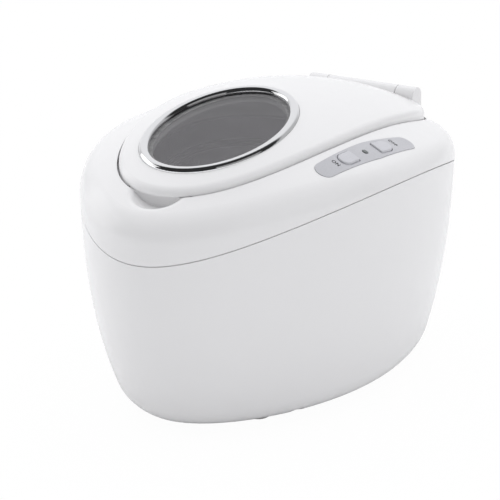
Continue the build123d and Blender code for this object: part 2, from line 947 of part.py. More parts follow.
with BuildPart() as transducer_horn:
    round_bars(transducer_axis, horn_top_radius, horn_top - horn_lip, horn_top)
    round_bars(transducer_axis, horn_radius, horn_bottom, horn_top - horn_lip)
    with Locations((0, transducer_y, horn_top - horn_lip)):
        Cone(
            horn_radius,
            horn_top_radius,
            horn_top_radius - horn_radius,
            align=(Align.CENTER, Align.CENTER, Align.MAX),
        )
    round_bars(
        transducer_axis,
        transducer_bolt_radius + screw_hole_gap,
        horn_bottom,
        horn_bottom + transducer_bolt_grip,
        mode=Mode.SUBTRACT,
    )
write_out(transducer_horn, "transducer_horn")

with BuildPart() as piezo_rings:
    for level in electrode_levels:
        ring_bottom = level + electrode_thickness
        round_bars(transducer_axis, horn_radius, ring_bottom, ring_bottom + piezo_height)
        round_bars(
            transducer_axis, piezo_hole_radius, ring_bottom, ring_bottom + piezo_height, mode=Mode.SUBTRACT
        )
write_out(piezo_rings, "piezo_rings")

with BuildPart() as electrode_plates:
    for level, side in zip(electrode_levels, (-1, 1)):
        with BuildSketch(Plane.XY.offset(level)) as plate:
            with Locations((0, transducer_y)):
                Circle(horn_radius)
            with Locations((side * transducer_lead_spacing, transducer_y)):
                Rectangle(
                    electrode_tab_width,
                    horn_radius + electrode_tab_length,
                    align=(Align.CENTER, Align.MIN),
                )
            with Locations((0, transducer_y)):
                Circle(piezo_hole_radius, mode=Mode.SUBTRACT)
        extrude(plate.sketch, amount=electrode_thickness)
write_out(electrode_plates, "electrode_plates")

with BuildPart() as transducer_back_mass:
    round_bars(transducer_axis, horn_radius, back_mass_bottom, back_mass_top)
    round_bars(
        transducer_axis,
        transducer_bolt_radius + screw_hole_gap,
        back_mass_bottom,
        back_mass_top,
        mode=Mode.SUBTRACT,
    )
    fillet(edges().group_by(Axis.Z)[0].sort_by(SortBy.RADIUS)[-1], radius=back_mass_round)
write_out(transducer_back_mass, "transducer_back_mass")

with BuildPart() as transducer_bolt:
    round_bars(transducer_axis, transducer_bolt_radius, back_mass_bottom, horn_bottom + transducer_bolt_grip)
    with BuildSketch(Plane.XY.offset(back_mass_bottom - transducer_bolt_head_height)) as bolt_head:
        with Locations((0, transducer_y)):
            RegularPolygon(transducer_bolt_head_radius, 6)
    extrude(bolt_head.sketch, amount=transducer_bolt_head_height)
write_out(transducer_bolt, "transducer_bolt")


# ---- driver board and the parts on it ----
def standing_box(x, y, width, depth, bottom, height, mode=Mode.ADD):
    """Upright box, placed by the middle of its foot."""
    with Locations((x, y, bottom)):
        Box(width, depth, height, align=(Align.CENTER, Align.CENTER, Align.MIN), mode=mode)


with BuildPart() as driver_board:
    standing_box(0, board_y, board_width, board_length, board_bottom, board_thickness)
    round_bars(standoff_places, board_screw_radius + screw_hole_gap, board_bottom, board_top, mode=Mode.SUBTRACT)
write_out(driver_board, "driver_board")

with BuildPart() as drive_transformer:
    standing_box(
        transformer_x, transformer_y, transformer_width, transformer_depth / 2, board_top, transformer_height
    )
    for side in (-1, 1):
        standing_box(
            transformer_x + side * (transformer_width - transformer_limb) / 4,
            transformer_y,
            (transformer_width - 3 * transformer_limb) / 2,
            transformer_depth / 2,
            board_top + transformer_limb,
            transformer_height - 2 * transformer_limb,
            mode=Mode.SUBTRACT,
        )
    with BuildSketch(Plane.XY.offset(board_top + transformer_limb + winding_gap)) as winding:
        with Locations((transformer_x, transformer_y)):
            RectangleRounded(
                transformer_width - 2 * (transformer_limb + winding_gap), transformer_depth, transformer_limb / 2
            )
            Rectangle(
                transformer_limb + 2 * winding_gap, transformer_depth / 2 + 2 * winding_gap, mode=Mode.SUBTRACT
            )
    extrude(winding.sketch, amount=transformer_height - 2 * (transformer_limb + winding_gap))
write_out(drive_transformer, "drive_transformer")

with BuildPart() as line_choke:
    standing_box(
        choke_x, choke_y, 2 * choke_radius, 2 * choke_core_radius, board_top, choke_base_height + choke_core_radius
    )
    with Locations(
        Location((choke_x, choke_y, board_top + choke_base_height + choke_radius + choke_core_radius), (90, 0, 0))
    ):
        Torus(choke_radius, choke_core_radius)
write_out(line_choke, "line_choke")

with BuildPart() as film_capacitors:
    for side in (-1, 1):
        standing_box(
            film_capacitor_x,
            film_capacitor_y + side * film_capacitor_pitch / 2,
            film_capacitor_width,
            film_capacitor_depth,
            board_top,
            film_capacitor_height,
        )
    fillet(edges().group_by(Axis.Z)[-1], radius=film_capacitor_round)
write_out(film_capacitors, "film_capacitors")

with BuildPart() as bulk_capacitor:
    round_bars(
        [(bulk_capacitor_x, bulk_capacitor_y)],
        bulk_capacitor_radius,
        board_top,
        board_top + bulk_capacitor_height,
    )
    fillet(edges().group_by(Axis.Z)[-1], radius=bulk_capacitor_round)
write_out(bulk_capacitor, "bulk_capacitor")

with BuildPart() as heat_sink:
    standing_box(
        heat_sink_x + heat_sink_base / 2, heat_sink_y, heat_sink_base, heat_sink_length, board_top, heat_sink_height
    )
    for number in range(fin_count):
        fin_y = heat_sink_y + (number / (fin_count - 1) - 0.5) * (heat_sink_length - fin_thickness)
        standing_box(
            heat_sink_x + heat_sink_base + fin_reach / 2, fin_y, fin_reach, fin_thickness, board_top, heat_sink_height
        )
write_out(heat_sink, "heat_sink")

with BuildPart() as power_transistors:
    for side in (-1, 1):
        transistor_y = heat_sink_y + side * transistor_pitch / 2
        standing_box(
            heat_sink_x - transistor_thickness / 2,
            transistor_y,
            transistor_thickness,
            transistor_width,
            board_top + transistor_lift,
            transistor_height,
        )
        for leg in (-1, 0, 1):
            standing_box(
                heat_sink_x - transistor_thickness / 2,
                transistor_y + leg * transistor_width / 4,
                transistor_leg,
                transistor_leg,
                board_top,
                transistor_lift,
            )
write_out(power_transistors, "power_transistors")

fuse_level = board_top + fuse_lift + fuse_radius
with BuildPart() as mains_fuse:
    with BuildSketch(Plane.XZ.offset(-fuse_y)) as glass:
        with Locations((fuse_x, fuse_level)):
            Circle(fuse_radius - fuse_cap_thickness)
    extrude(glass.sketch, amount=fuse_length / 2 - fuse_cap_length, both=True)
    for side in (-1, 1):
        cap_y = fuse_y + side * (fuse_length - fuse_cap_length) / 2
        with BuildSketch(Plane.XZ.offset(-cap_y)) as cap:
            with Locations((fuse_x, fuse_level)):
                Circle(fuse_radius)
        extrude(cap.sketch, amount=fuse_cap_length / 2, both=True)
        standing_box(fuse_x, cap_y, fuse_radius, fuse_cap_length / 2, board_top, fuse_lift + fuse_radius)
write_out(mains_fuse, "mains_fuse")


# ---- power inlet ----
inlet_face_y = inlet_seat_y + inlet_plate_thickness
contact_x = contact_spacing / 2
contact_front_y = inlet_face_y - contact_recess
contact_back_y = inlet_seat_y - inlet_body_depth - contact_tail


def contact_bars(radius, front_y, back_y, mode=Mode.ADD):
    """The pair of round contacts, or their holes, along Y."""
    with BuildSketch(Plane.XZ.offset(-front_y)) as section:
        with Locations((-contact_x, inlet_z), (contact_x, inlet_z)):
            Circle(radius)
    extrude(section.sketch, amount=front_y - back_y, mode=mode)


with BuildPart() as power_inlet:
    back_block(inlet_plate_width, inlet_plate_height, inlet_seat_y, inlet_face_y)
    back_block(inlet_body_width, inlet_body_height, inlet_seat_y - inlet_body_depth, inlet_seat_y)
    with BuildSketch(Plane.XZ.offset(-inlet_face_y)) as mouth:
        with Locations((0, inlet_z)):
            SlotOverall(inlet_mouth_width, inlet_mouth_height)
    extrude(mouth.sketch, amount=inlet_mouth_depth, mode=Mode.SUBTRACT)
    contact_bars(contact_radius, inlet_face_y, contact_back_y, mode=Mode.SUBTRACT)
write_out(power_inlet, "power_inlet")

with BuildPart() as inlet_contacts:
    contact_bars(contact_radius, contact_front_y, contact_back_y)
write_out(inlet_contacts, "inlet_contacts")


# ---- lid ----
front_height = arch_height(lid_top, 0, window_centre - window_half_length)
back_height = arch_height(lid_top, 0, window_centre + window_half_length)
window_tilt = math.atan2(back_height - front_height, 2 * window_half_length)
window_plane = Plane(
    origin=(0, window_centre, (front_height + back_height) / 2),
    x_dir=(1, 0, 0),
    z_dir=(0, -math.sin(window_tilt), math.cos(window_tilt)),
)
pane_bottom = window_gasket_thickness - window_seat_depth
pane_top = pane_bottom + pane_thickness
pane_edge = bezel_width - pane_cover
window_edge = bezel_width + window_seat_width
lid_rest = sunk(ledge, -lid_rest_gap)


def window_disc(shrink, bottom, top, mode=Mode.ADD):
    """Elliptical disc square to the window, smaller all round than the bezel by the shrink."""
    with BuildSketch(window_plane.offset(bottom)) as section:
        Ellipse(window_half_width - shrink, window_half_length - shrink)
    extrude(section.sketch, amount=top - bottom, mode=mode)


with BuildPart() as lid_blank:
    prism(lid_plan, fitting_base, top_of_all)
    under_arch(lid_top, mode=Mode.INTERSECT)
    fillet(faces().sort_by(Axis.Z)[-1].edges(), radius=lid_edge_round)

with BuildPart() as lid_hollow:
    prism(grown(lid_plan, -lid_wall), fitting_base, top_of_all)
    under_arch(sunk(lid_top, lid_wall), mode=Mode.INTERSECT)
    window_disc(-window_frame_margin, -window_frame_depth, top_of_all, mode=Mode.SUBTRACT)

with BuildPart() as lid_posts:
    round_bars(bumper_places, bumper_radius, fitting_base, top_of_all)
    under_arch(sunk(lid_top, lid_wall / 2), mode=Mode.INTERSECT)
    under_arch(sunk(ledge, bumper_socket - bumper_height - bumper_gap), mode=Mode.SUBTRACT)

with BuildPart() as lip_relief:
    scoop_ball(scoop_radius + scoop_wall + lid_gap, scoop_back + scoop_wall + lid_gap)
    under_arch(sunk(deck, lip_drop), mode=Mode.INTERSECT)

with BuildPart() as skirt_sweep:
    with BuildSketch(Plane.YZ.offset(-lid_knuckle_length / 2)) as section:
        with Locations((hinge_y, hinge_z - hinge_root / 2)):
            Rectangle(2 * hinge_radius, hinge_root)
        with Locations((hinge_y, hinge_z)):
            Circle(skirt_swing_radius, mode=Mode.SUBTRACT)
    extrude(section.sketch, amount=lid_knuckle_length)

with BuildPart() as lid_shell:
    add(lid_blank.part)
    under_arch(lid_rest, mode=Mode.SUBTRACT)
    add(lid_hollow.part, mode=Mode.SUBTRACT)
    add(lid_posts.part)
    add([lip_relief.part, skirt_sweep.part], mode=Mode.SUBTRACT)
    window_disc(-bezel_clearance, -window_seat_depth, lid_peak, mode=Mode.SUBTRACT)
    window_disc(window_edge, -lid_peak / 2, lid_peak, mode=Mode.SUBTRACT)
    for side in (-1, 1):
        with Locations((side * lid_knuckle_length / 2, hinge_y - hinge_radius - hinge_swing_gap, hinge_z)):
            Box(
                casing_width,
                casing_length,
                casing_length,
                align=(Align.MIN if side > 0 else Align.MAX, Align.MIN, Align.CENTER),
                mode=Mode.SUBTRACT,
            )
    cross_bar(hinge_radius, lid_knuckle_length / 2)
    cross_bar(pin_radius + pin_clearance, lid_knuckle_length, mode=Mode.SUBTRACT)
write_out(lid_shell, "lid_shell")

with BuildPart() as window_bezel:
    window_disc(0, -window_seat_depth, bezel_proud)
    window_disc(bezel_width, -window_seat_depth, bezel_proud, mode=Mode.SUBTRACT)
    fillet(faces().sort_by(Axis.Z)[-1].edges(), radius=bezel_round)
    window_disc(pane_edge - bezel_clearance, -window_seat_depth, pane_top, mode=Mode.SUBTRACT)
write_out(window_bezel, "window_bezel")

with BuildPart() as window_pane:
    window_disc(pane_edge, pane_bottom, pane_top)
write_out(window_pane, "window_pane")

with BuildPart() as window_gasket:
    window_disc(pane_edge, -window_seat_depth, pane_bottom)
    window_disc(window_edge, -window_seat_depth, pane_bottom, mode=Mode.SUBTRACT)
write_out(window_gasket, "window_gasket")

with BuildPart() as lid_bumpers:
    round_bars(bumper_places, bumper_radius, fitting_base, top_of_all)
    under_arch(sunk(ledge, bumper_socket - bumper_height), mode=Mode.INTERSECT)
    under_arch(sunk(ledge, bumper_socket), mode=Mode.SUBTRACT)
write_out(lid_bumpers, "lid_bumpers")

with BuildPart() as hinge_pin:
    pin_bar(pin_radius, pin_recess - hinge_length / 2, pin_reach - pin_clearance)
write_out(hinge_pin, "hinge_pin")


# ---- leads inside the casing ----
def bend_radii(points):
    """For each corner of a route, the largest bend that its two runs allow."""
    radii = []
    for before, corner, after in zip(points, points[1:], points[2:]):
        run_in = Vector(*corner) - Vector(*before)
        run_out = Vector(*after) - Vector(*corner)
        half_turn = math.radians(run_in.get_angle(run_out)) / 2
        radii.append(bend_share * min(run_in.length, run_out.length) / math.tan(half_turn))
    return radii


def lead(points, radius):
    """Round wire along straight runs joined by bends."""
    radii = bend_radii(points)
    with BuildLine() as route:
        FilletPolyline(*points, radius=radii)
    with BuildSketch(Plane(origin=points[0], z_dir=Vector(*points[1]) - Vector(*points[0]))) as section:
        Circle(radius)
    sweep(section.sketch, path=route.line)


with BuildPart() as mains_leads:
    for side in (-1, 1):
        x = side * contact_x
        lead([(x, contact_back_y, inlet_z), (x, mains_lead_y, inlet_z), (x, mains_lead_y, board_top)], mains_lead_radius)
write_out(mains_leads, "mains_leads")

with BuildPart() as transducer_leads:
    tab_end = transducer_y + horn_radius + electrode_tab_length
    for level, side in zip(electrode_levels, (-1, 1)):
        x = side * transducer_lead_spacing
        z = level + electrode_thickness / 2
        lead(
            [(x, tab_end, z), (x, transducer_lead_y, z), (x, transducer_lead_y, board_top)],
            transducer_lead_radius,
        )
write_out(transducer_leads, "transducer_leads")

with BuildPart() as key_leads:
    for number in range(key_lead_count):
        shift = (number - (key_lead_count - 1) / 2) * key_lead_pitch
        lead(
            [
                (52.5, -8.0 + shift, key_board_bottom),
                (52.5, -8.0 + shift, 78.0),
                (51.0, 0.0 + shift, 48.0),
                (42.0, 12.0 + shift, 29.0),
                (28.0, 19.0 + shift, 23.5),
                (15.0, 19.2 + shift, 24.0),
                (15.0, 19.2 + shift, board_top),
            ],
            key_lead_radius,
        )
write_out(key_leads, "key_leads")
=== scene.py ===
"""Looks of an egg-shaped ultrasonic cleaner, built around its packed construction model."""

import logging
import math
from dataclasses import dataclass, field
from enum import Enum
from typing import Iterable, Sequence, Union

import bpy
from mathutils import Matrix, Vector


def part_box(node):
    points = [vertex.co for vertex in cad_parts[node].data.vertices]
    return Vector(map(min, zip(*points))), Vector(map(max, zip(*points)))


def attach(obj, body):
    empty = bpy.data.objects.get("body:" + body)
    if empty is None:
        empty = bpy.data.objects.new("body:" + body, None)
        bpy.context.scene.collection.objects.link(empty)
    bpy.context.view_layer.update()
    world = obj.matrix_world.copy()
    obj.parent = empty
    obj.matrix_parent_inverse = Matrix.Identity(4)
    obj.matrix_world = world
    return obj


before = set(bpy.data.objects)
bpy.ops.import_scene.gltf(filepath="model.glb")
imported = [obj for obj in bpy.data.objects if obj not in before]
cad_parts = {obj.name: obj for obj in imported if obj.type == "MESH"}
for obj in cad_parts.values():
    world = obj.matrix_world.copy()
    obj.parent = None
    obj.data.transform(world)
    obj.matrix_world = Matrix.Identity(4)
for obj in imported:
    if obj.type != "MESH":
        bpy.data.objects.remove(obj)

logging.basicConfig(level=logging.INFO, format="%(message)s")
log = logging.getLogger("cleaner")

MM = 0.001
Colour = tuple[float, float, float]
Axes = tuple[float, float, float]
Number = Union[float, "Signal"]
FULL_WHITE: Colour = (1.0, 1.0, 1.0)


# ---- shader nodes as expressions ----
class Signal:
    """One number output of a shader node. Arithmetic on it adds Math nodes."""

    def __init__(self, shade: "Shade", socket: bpy.types.NodeSocket) -> None:
        """Wraps a socket.

        Args:
            shade: The nodes that are being laid out.
            socket: The output that carries the number.
        """
        self.shade = shade
        self.socket = socket

    def _math(self, operation: str, first: Number, second: Number) -> "Signal":
        """Adds one Math node.

        Args:
            operation: Blender's name of the operation.
            first: Left operand.
            second: Right operand.

        Returns:
            The result as a new signal.
        """
        node = self.shade.node("ShaderNodeMath", {"operation": operation}, {0: first, 1: second})
        return Signal(self.shade, node.outputs[0])

    def __add__(self, other: Number) -> "Signal":
        """Sum of the two."""
        return self._math("ADD", self, other)

    def __radd__(self, other: Number) -> "Signal":
        """Sum with a plain number on the left."""
        return self._math("ADD", other, self)

    def __sub__(self, other: Number) -> "Signal":
        """Difference of the two."""
        return self._math("SUBTRACT", self, other)

    def __rsub__(self, other: Number) -> "Signal":
        """Difference with a plain number on the left."""
        return self._math("SUBTRACT", other, self)

    def __mul__(self, other: Number) -> "Signal":
        """Product of the two."""
        return self._math("MULTIPLY", self, other)

    def __rmul__(self, other: Number) -> "Signal":
        """Product with a plain number on the left."""
        return self._math("MULTIPLY", other, self)

    def __truediv__(self, other: Number) -> "Signal":
        """Quotient of the two."""
        return self._math("DIVIDE", self, other)

    def __rtruediv__(self, other: Number) -> "Signal":
        """Quotient with a plain number on the left."""
        return self._math("DIVIDE", other, self)

    def __pow__(self, other: Number) -> "Signal":
        """Power of the signal."""
        return self._math("POWER", self, other)

    def largest(self, other: Number) -> "Signal":
        """Larger of the two."""
        return self._math("MAXIMUM", self, other)

    def span(self, low: float, high: float, bottom: float = 0.0, top: float = 1.0) -> "Signal":
        """Maps a range smoothly onto another and stays inside it.

        Args:
            low: Value that becomes the bottom.
            high: Value that becomes the top.
            bottom: Lowest result.
            top: Highest result.

        Returns:
            The mapped signal.
        """
        node = self.shade.node(
            "ShaderNodeMapRange",
            {"interpolation_type": "SMOOTHSTEP"},
            {0: self, 1: low, 2: high, 3: bottom, 4: top},
        )
        return Signal(self.shade, node.outputs[0])


class Shade:
    """The nodes of one material or world while they are laid out."""

    def __init__(self, name: str) -> None:
        """Starts an empty material.

        Args:
            name: Name of the material.
        """
        self.material = bpy.data.materials.new(name)
        self._start(self.material, "ShaderNodeOutputMaterial")

    def _start(self, owner: bpy.types.ID, output: str) -> None:
        """Clears the owner's nodes and leaves only its output.

        Args:
            owner: The material or world.
            output: Blender's type name of the output node.
        """
        owner.use_nodes = True
        self.tree = owner.node_tree
        self.tree.nodes.clear()
        self.output = self.tree.nodes.new(output)

    @classmethod
    def around(cls, world: bpy.types.World) -> "Shade":
        """Starts the nodes of a world instead of a material's.

        Args:
            world: The world.

        Returns:
            The nodes while they are laid out.
        """
        made = cls.__new__(cls)
        made._start(world, "ShaderNodeOutputWorld")
        return made

    def node(
        self, kind: str, settings: dict | None = None, inputs: dict | None = None
    ) -> bpy.types.Node:
        """Adds any node: its settings first, then what its sockets hold.

        Args:
            kind: Blender's type name.
            settings: Attributes of the node; "stops" holds a ramp's positions and colours.
            inputs: For each socket's name or number, a value, a signal or an output socket.

        Returns:
            The new node.
        """
        made = self.tree.nodes.new(kind)
        for key, value in (settings or {}).items():
            if key == "stops":
                self._set_stops(made.color_ramp, value)
            else:
                setattr(made, key, value)
        for key, value in (inputs or {}).items():
            socket = made.inputs[key]
            if isinstance(value, Signal):
                self.tree.links.new(value.socket, socket)
            elif isinstance(value, bpy.types.NodeSocket):
                self.tree.links.new(value, socket)
            elif socket.type == "RGBA" and len(value) == 3:
                socket.default_value = (*value, 1.0)
            else:
                socket.default_value = value
        return made

    @staticmethod
    def _set_stops(ramp: bpy.types.ColorRamp, stops: Sequence[tuple[float, Colour]]) -> None:
        """Writes a colour ramp's stops.

        Args:
            ramp: The ramp to fill.
            stops: Position and colour of each stop, in order.
        """
        while len(ramp.elements) < len(stops):
            ramp.elements.new(1.0)
        for element, (position, colour) in zip(ramp.elements, stops):
            element.position = position
            element.color = (*colour, 1.0)

    def place(self) -> bpy.types.NodeSocket:
        """Coordinates that are fixed to the piece, in metres."""
        return self.node("ShaderNodeTexCoord").outputs["Object"]

    def stretched(self, scale: Sequence[float]) -> bpy.types.NodeSocket:
        """Piece coordinates with each axis scaled by itself.

        Args:
            scale: Factor along X, Y and Z.

        Returns:
            The scaled coordinates.
        """
        sockets = {0: self.place(), 1: scale}
        made = self.node("ShaderNodeVectorMath", {"operation": "MULTIPLY"}, sockets)
        return made.outputs[0]

    def component(self, vector: bpy.types.NodeSocket, along: Sequence[float]) -> Signal:
        """Length of a vector along a direction.

        Args:
            vector: The vector.
            along: The direction, of length 1.

        Returns:
            The length.
        """
        sockets = {0: vector, 1: along}
        made = self.node("ShaderNodeVectorMath", {"operation": "DOT_PRODUCT"}, sockets)
        return Signal(self, made.outputs["Value"])

    def noise(
        self, scale: float, detail: float = 3.0, vector: bpy.types.NodeSocket | None = None
    ) -> Signal:
        """Cloudy noise from 0 to 1.

        Args:
            scale: Waves per metre.
            detail: Number of finer layers.
            vector: Coordinates, or the piece's own.

        Returns:
            The noise.
        """
        sockets = {"Vector": vector or self.place(), "Scale": scale, "Detail": detail}
        made = self.node("ShaderNodeTexNoise", None, sockets)
        return Signal(self, made.outputs["Fac"])

    def tint(self, factor: Number, low: Colour, high: Colour) -> bpy.types.NodeSocket:
        """Colour between two others.

        Args:
            factor: 0 for the first colour, 1 for the second.
            low: First colour.
            high: Second colour.

        Returns:
            The mixed colour.
        """
        sockets = {"Factor": factor, 6: (*low, 1.0), 7: (*high, 1.0)}
        made = self.node("ShaderNodeMix", {"data_type": "RGBA"}, sockets)
        return made.outputs[2]

    def bump(self, height: Signal, depth: float, strength: float = 1.0) -> bpy.types.NodeSocket:
        """Normal that follows a height.

        Args:
            height: Height from 0 to 1.
            depth: What a height of 1 stands for, in metres.
            strength: Share of the effect.

        Returns:
            The bent normal.
        """
        sockets = {"Height": height, "Distance": depth, "Strength": strength}
        made = self.node("ShaderNodeBump", None, sockets)
        return made.outputs["Normal"]

    def finish(self, **inputs: object) -> bpy.types.Material:
        """Ends the material with a Principled shader.

        Args:
            **inputs: Sockets by name, with underscores for spaces.

        Returns:
            The finished material.
        """
        named = {key.replace("_", " "): value for key, value in inputs.items()}
        shader = self.node("ShaderNodeBsdfPrincipled", None, named)
        self.tree.links.new(shader.outputs[0], self.output.inputs[0])
        return self.material


def shades_of(colour: Colour, dark: float, light: float) -> tuple[Colour, Colour]:
    """Makes a darker and a lighter version of a colour, neither past white.

    Args:
        colour: The colour.
        dark: Share of it in the darker one.
        light: Share of it in the lighter one.

    Returns:
        The darker colour and the lighter one.
    """
    darker = tuple(min(1.0, channel * dark) for channel in colour)
    lighter = tuple(min(1.0, channel * light) for channel in colour)
    return darker, lighter


# ---- finishes ----
@dataclass(frozen=True)
class MouldedPlastic:
    """Injection-moulded plastic, from high gloss to spark-eroded matte."""

    name: str
    colour: Colour
    roughness: float = 0.2
    texture: float = 900.0
    texture_depth: float = 0.000004
    cloud: float = 0.005
    cloud_scale: float = 14.0
    handling_scale: float = 30.0
    handling: tuple[float, float] = (0.96, 1.05)
    skin_roughness: float = 0.02
    coat: float = 0.0
    coat_roughness: float = 0.06
    refraction: float = 1.48

    def material(self) -> bpy.types.Material:
        """Builds the material: faint flow clouds, fine skin texture and uneven sheen."""
        shade = Shade(self.name)
        clouds = shade.noise(self.cloud_scale, detail=1.0)
        skin = shade.noise(self.texture, detail=4.0)
        least, most = (self.roughness * share for share in self.handling)
        handling = shade.noise(self.handling_scale, detail=1.0)
        return shade.finish(
            Base_Color=shade.tint(clouds, *shades_of(self.colour, 1 - self.cloud, 1 + self.cloud)),
            Roughness=handling.span(low=0.2, high=0.8, bottom=least, top=most) + self.skin_roughness * skin,
            Normal=shade.bump(skin, self.texture_depth),
            IOR=self.refraction,
            Coat_Weight=self.coat,
            Coat_Roughness=self.coat_roughness,
        )


@dataclass(frozen=True)
class ChromePlate:
    """Bright chrome over plastic, with hairlines from wiping."""

    name: str
    colour: Colour = (0.80, 0.80, 0.81)
    roughness: float = 0.05
    wipe_scale: float = 60.0
    wipe_stretch: Axes = (1.0, 14.0, 14.0)
    wipe_depth: float = 0.000002
    haze_scale: float = 35.0

    def material(self) -> bpy.types.Material:
        """Builds the material."""
        shade = Shade(self.name)
        wipes = shade.noise(self.wipe_scale, detail=6.0, vector=shade.stretched(self.wipe_stretch))
        haze = shade.noise(self.haze_scale)
        least, most = self.roughness * 0.7, self.roughness * 1.6
        return shade.finish(
            Base_Color=shade.tint(haze, *shades_of(self.colour, 0.97, 1.03)),
            Metallic=1.0,
            Roughness=wipes.span(low=0.3, high=0.8, bottom=least, top=most),
            Normal=shade.bump(wipes, self.wipe_depth),
        )


@dataclass(frozen=True)
class SmokePane:
    """Grey-tinted pane that mirrors a little, with a few wiping marks."""

    name: str
    colour: Colour = (0.27, 0.265, 0.275)
    roughness: float = 0.02
    density: float = 0.34
    mirror: float = 0.9
    mark_scale: float = 40.0
    mark_stretch: Axes = (1.0, 6.0, 1.0)
    refraction: float = 1.49

    def material(self) -> bpy.types.Material:
        """Builds the material."""
        shade = Shade(self.name)
        marks = shade.noise(self.mark_scale, detail=5.0, vector=shade.stretched(self.mark_stretch))
        return shade.finish(
            Base_Color=shade.tint(marks, *shades_of(self.colour, 0.9, 1.15)),
            Roughness=marks.span(low=0.4, high=0.8, bottom=self.roughness, top=self.roughness * 2.5),
            Metallic=self.mirror,
            IOR=self.refraction,
            Alpha=marks.span(low=0.2, high=0.9, bottom=self.density, top=self.density * 1.06),
        )


@dataclass(frozen=True)
class SilverLacquer:
    """Metallic paint whose flakes sparkle a little."""

    name: str
    colour: Colour
    roughness: float = 0.34
    metallic: float = 0.25
    flake_scale: float = 5200.0
    flake_depth: float = 0.0000015
    cloud_scale: float = 90.0
    coat: float = 0.1
    coat_roughness: float = 0.2

    def material(self) -> bpy.types.Material:
        """Builds the material."""
        shade = Shade(self.name)
        sockets = {"Vector": shade.place(), "Scale": self.flake_scale}
        flakes = Signal(shade, shade.node("ShaderNodeTexVoronoi", None, sockets).outputs["Color"])
        clouds = shade.noise(self.cloud_scale)
        least, most = self.roughness * 0.9, self.roughness * 1.15
        return shade.finish(
            Base_Color=shade.tint(flakes, *shades_of(self.colour, 0.93, 1.06)),
            Metallic=self.metallic,
            Roughness=clouds.span(low=0.3, high=0.7, bottom=least, top=most),
            Normal=shade.bump(flakes, self.flake_depth),
            Coat_Weight=self.coat,
            Coat_Roughness=self.coat_roughness,
        )


@dataclass(frozen=True)
class SoftRubber:
    """Matte moulded rubber with a dusty bloom."""

    name: str
    colour: Colour
    smoothest: float = 0.62
    roughest: float = 0.8
    bloom_scale: float = 140.0
    grain_scale: float = 2600.0
    grain_depth: float = 0.00001
    specular: float = 0.35

    def material(self) -> bpy.types.Material:
        """Builds the material."""
        shade = Shade(self.name)
        bloom = shade.noise(self.bloom_scale, detail=5.0)
        grain = shade.noise(self.grain_scale, detail=2.0)
        return shade.finish(
            Base_Color=shade.tint(bloom, *shades_of(self.colour, 0.9, 1.1)),
            Roughness=bloom.span(low=0.2, high=0.8, bottom=self.smoothest, top=self.roughest),
            Normal=shade.bump(grain, self.grain_depth),
            Specular_IOR_Level=self.specular,
        )


class Lay(Enum):
    """Direction in which a metal's fine lines run, as a stretch along each axis."""

    AROUND = (1.0, 1.0, 40.0)
    ALONG_X = (1.0, 30.0, 30.0)
    EVEN = (1.0, 1.0, 1.0)


@dataclass(frozen=True)
class BrushedMetal:
    """Bare metal with fine lines from rolling, turning or polishing."""

    name: str
    colour: Colour
    roughness: float = 0.28
    lay: Lay = Lay.EVEN
    line_scale: float = 260.0
    line_depth: float = 0.000003
    metallic: float = 1.0
    stain_scale: float = 45.0

    def material(self) -> bpy.types.Material:
        """Builds the material."""
        shade = Shade(self.name)
        lines = shade.noise(self.line_scale, detail=5.0, vector=shade.stretched(self.lay.value))
        stains = shade.noise(self.stain_scale, detail=4.0)
        least, most = self.roughness * 0.8, self.roughness * 1.25
        return shade.finish(
            Base_Color=shade.tint(stains, *shades_of(self.colour, 0.92, 1.05)),
            Metallic=self.metallic,
            Roughness=lines.span(low=0.25, high=0.75, bottom=least, top=most),
            Normal=shade.bump(lines, self.line_depth),
        )


@dataclass(frozen=True)
class BoardMask:
    """Solder mask over copper tracks on a glass-fibre board."""

    name: str
    colour: Colour = (0.02, 0.16, 0.07)
    track_colour: Colour = (0.05, 0.27, 0.12)
    track_scale: float = 260.0
    track_edge: tuple[float, float] = (0.42, 0.5)
    track_depth: float = 0.00003
    weave_scale: float = 1800.0
    roughness: float = 0.3
    weave_roughness: float = 0.12

    def material(self) -> bpy.types.Material:
        """Builds the material."""
        shade = Shade(self.name)
        cells = shade.node(
            "ShaderNodeTexVoronoi",
            {"distance": "MANHATTAN", "feature": "F1"},
            {"Vector": shade.place(), "Scale": self.track_scale},
        )
        tracks = Signal(shade, cells.outputs["Distance"]).span(*self.track_edge)
        weave = shade.noise(self.weave_scale, detail=1.0)
        return shade.finish(
            Base_Color=shade.tint(tracks, self.track_colour, self.colour),
            Roughness=self.roughness + self.weave_roughness * weave,
            Normal=shade.bump(tracks, self.track_depth, strength=0.5),
        )


@dataclass(frozen=True)
class LightLens:
    """Tinted lens of an indicator that is switched off."""

    name: str
    colour: Colour = (0.12, 0.13, 0.13)
    depth_scale: float = 700.0
    smoothest: float = 0.08
    roughest: float = 0.14
    coat: float = 0.6
    coat_roughness: float = 0.04

    def material(self) -> bpy.types.Material:
        """Builds the material."""
        shade = Shade(self.name)
        depth = shade.noise(self.depth_scale, detail=2.0)
        return shade.finish(
            Base_Color=shade.tint(depth, *shades_of(self.colour, 0.8, 1.3)),
            Roughness=depth.span(low=0.3, high=0.7, bottom=self.smoothest, top=self.roughest),
            Coat_Weight=self.coat,
            Coat_Roughness=self.coat_roughness,
        )


@dataclass(frozen=True)
class PrintedInk:
    """Pad-printed dark ink."""

    name: str
    colour: Colour = (0.022, 0.022, 0.026)
    pore_scale: float = 4200.0
    smoothest: float = 0.45
    roughest: float = 0.6

    def material(self) -> bpy.types.Material:
        """Builds the material."""
        shade = Shade(self.name)
        pores = shade.noise(self.pore_scale)
        return shade.finish(
            Base_Color=shade.tint(pores, *shades_of(self.colour, 0.85, 1.2)),
            Roughness=pores.span(low=0.2, high=0.8, bottom=self.smoothest, top=self.roughest),
        )


